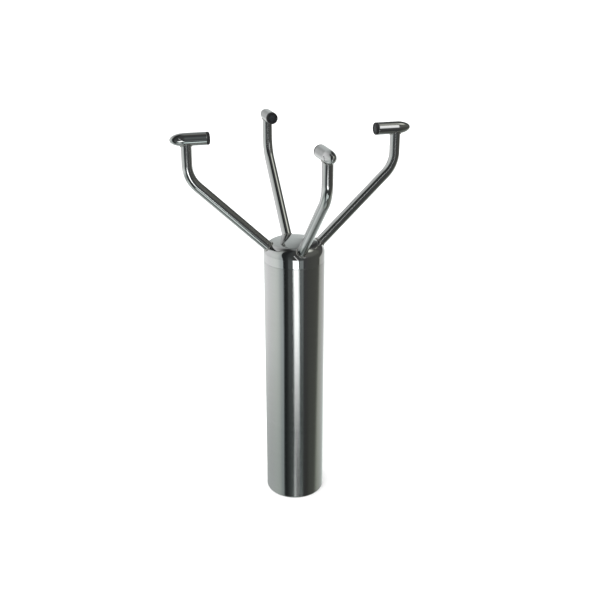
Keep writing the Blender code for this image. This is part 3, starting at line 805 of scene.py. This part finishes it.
def make_receptacle(finish):
    """The threaded shell of the round cable receptacle."""
    low, high = size_of("connector_shell")
    barrel, flange, bore = 0.008, high.x, 0.0064
    flange_low, edge = 0.0445, 0.0003
    crest_count, pitch, depth = 11, 0.00115, 0.00035
    thread = []
    for step in range(crest_count):
        start = low.z + 0.0012 + step * pitch
        thread += [(barrel - depth, start), (barrel, start + 0.4 * pitch), (barrel, start + 0.6 * pitch)]
    outline = [
        (bore + edge, low.z), (barrel - depth - edge, low.z), *thread, (barrel - depth, flange_low),
        (flange - edge, flange_low), (flange, flange_low + edge), (flange, FITTING_TOP - edge),
        (flange - edge, FITTING_TOP), (barrel, FITTING_TOP), (barrel, high.z), (bore, high.z),
        (bore, low.z + edge),
    ]
    shell = turned("receptacle_skin", outline, 96)
    place_piece("receptacle_skin", shell, finish, ["connector_shell"])


def make_insert(finish):
    """The receptacle's insert, with its ring of pins."""
    radius, bottom, top, edge = 0.0061, 0.038, 0.052, 0.0003
    pin_radius, pin_circle, pin_count = 0.0005, 0.0040, 8
    pin_low, pin_high = size_of("connector_insert")
    disc = [
        (0, bottom), (radius - edge, bottom), (radius, bottom + edge), (radius, top - edge),
        (radius - edge, top), (0, top),
    ]
    insert = turned("insert_skin", disc, 64, ring=False)
    tip = arc((0, pin_low.z + pin_radius), pin_radius, -math.pi / 2, 0, 4)
    pins = []
    for angle in circle_steps(pin_count):
        pin = turned("pin", [*tip, (pin_radius, pin_high.z), (0, pin_high.z)], 20, ring=False)
        pins.append(stood_at(pin, pin_circle * math.cos(angle), pin_circle * math.sin(angle)))
    mesh = cut_mesh(insert, pins, "UNION")
    place_piece("insert_skin", mesh, finish, ["connector_insert"])


def make_vent(finish):
    """The vent plug, with a knurled edge."""
    low, high = size_of("vent_plug")
    middle, head = (low + high) / 2, (high.x - low.x) / 2
    stem, edge = 0.003, 0.0004
    groove_count, groove_radius, groove_circle, past = 12, 0.0005, head + 0.0002, 0.001
    outline = [
        (0, low.z), *arc((head - edge, low.z + edge), edge, -math.pi / 2, 0, 5), (head, FITTING_TOP),
        (stem, FITTING_TOP), (stem, high.z), (0, high.z),
    ]
    grooves = []
    for angle in circle_steps(groove_count):
        groove = cylinder("groove", groove_radius, low.z - past, FITTING_TOP + past, 16)
        grooves.append(stood_at(groove, groove_circle * math.cos(angle), groove_circle * math.sin(angle)))
    vent = cut_mesh(turned("vent_skin", outline, 96, ring=False), grooves)
    place_piece("vent_skin", stood_at(vent, middle.x, middle.y), finish, ["vent_plug"])


def make_earth_screw(finish):
    """The earth screw, with a domed and slotted head."""
    low, high = size_of("earth_screw")
    middle, head = (low + high) / 2, (high.x - low.x) / 2
    stem = 0.0015
    slot_size = (0.008, 0.0008, 0.002)
    outline = [
        (0, low.z), (0.5 * head, low.z + 0.00012), (0.8 * head, low.z + 0.00045), (head, low.z + 0.0010),
        (head, FITTING_TOP), (stem, FITTING_TOP), (stem, high.z), (0, high.z),
    ]
    slot = bpy.data.meshes.new("slot")
    shape = bmesh.new()
    place = Matrix.Translation((0, 0, low.z)) @ Matrix.Diagonal((*slot_size, 1))
    bmesh.ops.create_cube(shape, size=1, matrix=place)
    shape.to_mesh(slot)
    shape.free()
    screw = cut_mesh(turned("earth_skin", outline, 64, ring=False), [slot])
    place_piece("earth_skin", stood_at(screw, middle.x, middle.y), finish, ["earth_screw"])


def dress_inner_nodes(finishes):
    """Gives every CAD node that still shows the finish of its record slot."""
    slot_of = {part["node"]: part["material_slot"] for part in frame["record"]["subparts"]}
    for name, node in frame["nodes"].items():
        if not node.hide_render:
            node.data.materials.clear()
            node.data.materials.append(finishes[slot_of[name]])


# Stage


def make_floor():
    """A pale seamless floor. It isn't seen in the steel, which shows the studio round it instead."""
    nodes = Nodes("pale_floor")
    cloud = nodes.noise(2.0)
    colour = nodes.mix(nodes.spread(cloud, 0, 1), rgb(0.90, 0.90, 0.90), rgb(0.92, 0.92, 0.92))
    finish = nodes.finish(colour, nodes.spread(cloud, 0.75, 0.85))
    half = 40.0
    corners = [(-half, -half, 0), (half, -half, 0), (half, half, 0), (-half, half, 0)]
    mesh = mesh_from("floor", corners, [(0, 1, 2, 3)])
    mesh.materials.append(finish)
    floor = bpy.data.objects.new("floor", mesh)
    bpy.context.scene.collection.objects.link(floor)
    floor.location.z = CAD_BOX[0].z
    floor.visible_glossy = False


# The studio as a mirror sees it, by direction round the object, in degrees. Azimuths are measured from the
# camera's side, positive to the right, and elevations from the horizon.
BEHIND = 130  # the tables by azimuth run from BEHIND - 360 to here
LEFT_WALL_BACK = -187  # the azimuth of its far side
LEFT_WALL_EDGE = [  # the azimuth of its near side, by elevation
    (-90, -45.5), (-33, -45.5), (-29, -43), (-25, -41), (-22, -39), (-20, -43.5),
    (0, -44), (30, -53), (60, -63),
]
LEFT_WALL_TOP = (58, 76)  # the elevations between which it fades out
LEFT_WALL_BY_AZIMUTH = [
    (-230, 0.90), (-180, 0.90), (-160, 0.98), (-134, 1.05), (-101, 1.0), (-78, 0.97),
    (-64, 0.88), (-52, 0.62), (130, 0.6),
]
LEFT_WALL_BY_HEIGHT = [
    (-90, 0.2), (-78, 0.3), (-69, 0.46), (-61, 0.54), (-51, 0.76), (-43, 0.76), (-38, 0.50), (-33, 0.45),
    (-29, 0.60), (-26, 0.78), (-24, 0.88), (-22, 0.94), (-19, 0.89), (-16, 0.82), (-13, 0.76), (-10, 0.77),
    (-7, 0.79), (0, 0.82), (15, 0.82), (30, 0.72), (48, 0.54), (56, 0.38), (62, 0.22), (68, 0.12), (90, 0.1),
]
RIGHT_WALL = (187, -50, 67.5, 4)  # a round patch: azimuth, elevation, radius and the width of its edge
RIGHT_WALL_BY_AZIMUTH = [
    (-230, 0.60), (-216, 0.66), (-206, 1.0), (-190, 1.1), (-180, 0.93), (93, 0.38),
    (105, 0.47), (112, 0.52), (120, 0.54), (126, 0.58), (130, 0.60),
]
RIGHT_WALL_BY_HEIGHT = [
    (-90, 0.15), (-74, 0.15), (-62, 0.28), (-54, 0.45), (-50, 0.54), (-41, 0.56),
    (-35, 0.82), (-28, 1.0), (90, 1.0),
]
DARK_BY_AZIMUTH = [  # the surround
    (-230, 0.07), (-187, 0.07), (-180, 0.035), (-48, 0.025), (-34, 0.025), (-24, 0.045),
    (-12, 0.06), (30, 0.06), (50, 0.072), (90, 0.088), (130, 0.09),
]
SOFT_PATCHES = [  # azimuth, elevation, radius, edge and brightness
    (-4, -52.5, 11, 6, 0.6),
    (1, -42, 4.5, 3, 1.6),
    (28, -49, 6.5, 5, 1.4),
    (0, -82, 16, 20, 0.40),
    (90, 55, 12, 20, 0.98),
    (150, 74, 14, 12, 0.24),
]
SHADES = [  # azimuth, elevation, radius, edge and the share of the light that's kept
    (-180, 24, 32, 18, 0.79),
    (164, 46, 13, 18, 0.66),
    (-152, 7, 18, 10, 0.68),
    (-56, -66, 10, 14, 0.60),
    (48, -36, 8, 14, 0.55),
]
TINT_BY_AZIMUTH = [
    (-230, (1, 1, 0.98)), (-200, (0.96, 1, 0.99)), (-176, (0.94, 1, 0.99)), (-150, (0.98, 1, 1)),
    (-115, (0.985, 0.985, 1.0)), (-68, (0.95, 1, 0.965)), (-40, (0.88, 0.97, 1)), (-12, (0.92, 1, 1)),
    (7, (1, 1, 1)), (25, (0.90, 1, 1)), (34, (0.93, 1, 1)), (40, (1, 0.99, 1)), (46, (1, 0.99, 1)),
    (52, (0.98, 1, 0.93)), (110, (0.98, 1, 0.89)), (120, (0.99, 1, 0.96)), (130, (1, 1, 0.98)),
]
TINT_BY_HEIGHT = [(-90, (0.95, 1, 0.98)), (-30, (0.95, 1, 0.98)), (-24, (1, 1, 1)), (90, (1, 1, 1))]

# Upright bands of light, as (azimuth or azimuth by elevation, half width, edge, brightness by elevation)
BANDS = {
    "strip": (
        [(-34, 10.5), (-25, 10.4), (-22, 8.8), (-19.5, 4.7), (-15, 3), (90, 3)], 10.2, 3,
        [(-90, 0), (-31, 0), (-29, 0.04), (-27, 0.48), (-24, 2.7), (-17.5, 2.8), (-15, 1.2),
         (-13.5, 0.25), (-12, 0.08), (-9, 0)],
    ),
    "strip_tail": (
        10.5, 6, 3,
        [(-38, 0), (-36, 0.04), (-33, 0.04), (-30, 0.1), (-27, 0.25), (-26, 0)],
    ),
    "thin_line": (
        [(-16, 14.5), (30, -1), (90, -20)], 0.9, 0.8,
        [(-17, 0), (-15, 1.6), (30, 1.3), (36, 0)],
    ),
    "left_flank": (
        -15, 9, 6,
        [(-36, 0.015), (-29, 0.03), (-24, 0.11), (-22, 0.19), (-20, 0.11), (30, 0.05), (50, 0)],
    ),
    "right_flank": (
        26.5, 8, 5,
        [(-36, 0.015), (-29, 0.05), (-24, 0.2), (-21, 0.27), (-18.5, 0.26), (-15, 0.10), (0, 0.06), (50, 0)],
    ),
    "side_line": (
        [(0, 37), (22, 38), (37, 43), (52, 51)], 4.5, 2,
        [(0, 0), (7, 0.4), (14, 1.1), (40, 1.3), (50, 0.85), (60, 0.6), (70, 0)],
    ),
    "side_glow": (
        65, 48, 16,
        [(-20, 0), (-8, 0.06), (16, 0.13), (38, 0.14), (52, 0)],
    ),
}


class Studio(Nodes):
    """Builds the world's node tree."""

    def __init__(self, world):
        world.use_nodes = True
        self.tree = world.node_tree
        self.tree.nodes.clear()
        self.way = self.add("ShaderNodeTexCoord").outputs["Generated"]
        across = self.along(toward(90, 0))
        around = self.math("DEGREES", self.math("ARCTAN2", across, self.along(toward(0, 0))))
        self.azimuth = self.math("WRAP", around, BEHIND, BEHIND - 360)
        self.height = self.math("DEGREES", self.math("ARCSINE", self.along(Vector((0, 0, 1)))))

    def along(self, direction):
        """The cosine between the ray and this direction."""
        node = self.add("ShaderNodeVectorMath", {"operation": "DOT_PRODUCT"})
        self.feed(node.inputs[0], self.way)
        self.feed(node.inputs[1], direction)
        return node.outputs["Value"]

    def ramp(self, value, stops):
        """A colour that changes evenly between its stops, which are (position, colour)."""
        low, high = stops[0][0], stops[-1][0]
        ramp = self.add("ShaderNodeValToRGB", Fac=self.spread(value, 0.0, 1.0, float(low), float(high)))
        elements = ramp.color_ramp.elements
        while len(elements) > 1:
            elements.remove(elements[-1])
        for index, (position, colour) in enumerate(stops):
            at = (position - low) / (high - low)
            element = elements[0] if index == 0 else elements.new(at)
            element.position = at
            element.color = rgb(*colour)
        return ramp.outputs["Color"]

    def curve(self, value, stops):
        """An amount that changes evenly between its stops, which are (position, amount)."""
        least = min(0.0, min(amount for _, amount in stops))
        span = max(amount for _, amount in stops) - least
        shares = [(position, ((amount - least) / span,) * 3) for position, amount in stops]
        return self.math("ADD", self.math("MULTIPLY", self.ramp(value, shares), span), least)

    def fade(self, value, start, end):
        """1 below start, 0 above end, and a smooth step between."""
        node = self.add(
            "ShaderNodeMapRange", {"interpolation_type": "SMOOTHSTEP"},
            Value=value, From_Min=float(start), From_Max=float(end), To_Min=1.0, To_Max=0.0,
        )
        return node.outputs["Result"]

    def patch(self, azimuth, elevation, radius, edge):
        """1 inside a round patch of the sky, falling to 0 across its edge."""
        apart = self.math("DEGREES", self.math("ARCCOSINE", self.along(toward(azimuth, elevation))))
        return self.fade(apart, radius - edge / 2, radius + edge / 2)

    def band(self, azimuth, half_width, edge, brightness):
        """An upright band of light, whose brightness and perhaps azimuth change with the elevation."""
        centre = self.curve(self.height, azimuth) if isinstance(azimuth, list) else azimuth
        sideways = self.math("ABSOLUTE", self.math("SUBTRACT", self.azimuth, centre))
        inside = self.fade(sideways, half_width - edge / 2, half_width + edge / 2)
        return self.math("MULTIPLY", inside, self.curve(self.height, brightness))

    def tinted(self, value):
        """The grey value, coloured by azimuth and by height."""
        colour = self.add("ShaderNodeCombineXYZ", X=value, Y=value, Z=value).outputs["Vector"]
        for tint in (self.ramp(self.azimuth, TINT_BY_AZIMUTH), self.ramp(self.height, TINT_BY_HEIGHT)):
            product = self.add("ShaderNodeVectorMath", {"operation": "MULTIPLY"})
            self.feed(product.inputs[0], colour)
            self.feed(product.inputs[1], tint)
            colour = product.outputs["Vector"]
        return colour

    def left_wall(self):
        """1 where the left wall is, and 0 elsewhere."""
        near, far = 2, 8  # half the width of its near and its far edge
        past = self.math("SUBTRACT", self.azimuth, self.curve(self.height, LEFT_WALL_EDGE))
        beyond = self.fade(self.azimuth, LEFT_WALL_BACK - far, LEFT_WALL_BACK + far)
        between = self.math("MULTIPLY", self.fade(past, -near, near), self.math("SUBTRACT", 1.0, beyond))
        return self.math("MULTIPLY", between, self.fade(self.height, *LEFT_WALL_TOP))

    def wall_light(self, by_azimuth, by_height):
        """The product of an amount by azimuth and one by elevation."""
        across = self.curve(self.azimuth, by_azimuth)
        return self.math("MULTIPLY", across, self.curve(self.height, by_height))

    def blend(self, factor, one, other):
        """one where the factor is 0, and other where it is 1."""
        change = self.math("MULTIPLY", factor, self.math("SUBTRACT", other, one))
        return self.math("ADD", one, change)


def toward(azimuth, elevation):
    """The direction at this azimuth, from the camera's side, and elevation, both in degrees."""
    turn, rise = CAMERA_SIDE + math.radians(azimuth), math.radians(elevation)
    return Vector((math.sin(turn) * math.cos(rise), -math.cos(turn) * math.cos(rise), math.sin(rise)))


def make_world():
    """The studio for what the steel shows, and plain white for the camera and the matt surfaces."""
    world = bpy.data.worlds.new("studio")
    bpy.context.scene.world = world
    studio = Studio(world)
    dark = studio.curve(studio.azimuth, DARK_BY_AZIMUTH)
    right_light = studio.wall_light(RIGHT_WALL_BY_AZIMUTH, RIGHT_WALL_BY_HEIGHT)
    left_light = studio.wall_light(LEFT_WALL_BY_AZIMUTH, LEFT_WALL_BY_HEIGHT)
    seen = studio.blend(studio.patch(*RIGHT_WALL), dark, right_light)
    seen = studio.blend(studio.left_wall(), seen, left_light)
    for *shape, brightness in SOFT_PATCHES:
        seen = studio.math("MAXIMUM", seen, studio.math("MULTIPLY", studio.patch(*shape), brightness))
    for shape in BANDS.values():
        seen = studio.math("MAXIMUM", seen, studio.band(*shape))
    for *shape, kept in SHADES:
        seen = studio.blend(studio.patch(*shape), seen, studio.math("MULTIPLY", seen, kept))
    room = studio.add("ShaderNodeBackground", Color=studio.tinted(seen), Strength=1.0)
    backdrop = studio.add("ShaderNodeBackground", Color=rgb(1, 1, 1), Strength=1.0)
    both = studio.add("ShaderNodeMixShader")
    path = studio.add("ShaderNodeLightPath").outputs
    studio.feed(both.inputs[0], studio.math("MAXIMUM", path["Is Camera Ray"], path["Is Diffuse Ray"]))
    studio.feed(both.inputs[1], room.outputs[0])
    studio.feed(both.inputs[2], backdrop.outputs[0])
    output = studio.add("ShaderNodeOutputWorld")
    studio.feed(output.inputs["Surface"], both.outputs[0])


def make_lights():
    """A wide soft light from above that whitens the floor. The steel shows the studio instead of it."""
    data = bpy.data.lights.new("overhead_light", "SUN")
    data.energy = 2.4
    data.angle = math.radians(80)
    light = bpy.data.objects.new("overhead_light", data)
    bpy.context.scene.collection.objects.link(light)
    light.rotation_euler = (math.radians(12), math.radians(-14), 0)
    light.visible_glossy = False


def make_camera():
    data = bpy.data.cameras.new("camera")
    data.lens = CAMERA_LENS
    data.sensor_width = 36
    camera = bpy.data.objects.new("camera", data)
    bpy.context.scene.collection.objects.link(camera)
    camera.location = (
        CAMERA_DISTANCE * math.sin(CAMERA_SIDE), -CAMERA_DISTANCE * math.cos(CAMERA_SIDE),
        CAD_BOX[0].z + CAMERA_HEIGHT,
    )
    camera.rotation_euler = (math.pi / 2 - CAMERA_PITCH, 0, CAMERA_SIDE - CAMERA_PAN)
    bpy.context.scene.camera = camera


def main():
    bpy.context.scene.view_settings.view_transform = "Standard"
    finishes = make_materials()
    make_camera()
    make_world()
    make_lights()
    make_floor()
    make_housing(finishes["brushed_steel"])
    make_cap(finishes["turned_steel"])
    make_arms(finishes)
    make_clamp_screws(finishes["zinc_steel"])
    make_socket(finishes["zinc_steel"])
    make_plug(finishes["aluminium"])
    make_nuts(finishes["zinc_steel"])
    make_receptacle(finishes["nickel_brass"])
    make_insert(finishes["black_plastic"])
    make_vent(finishes["black_plastic"])
    make_earth_screw(finishes["nickel_brass"])
    dress_inner_nodes(finishes)


main()
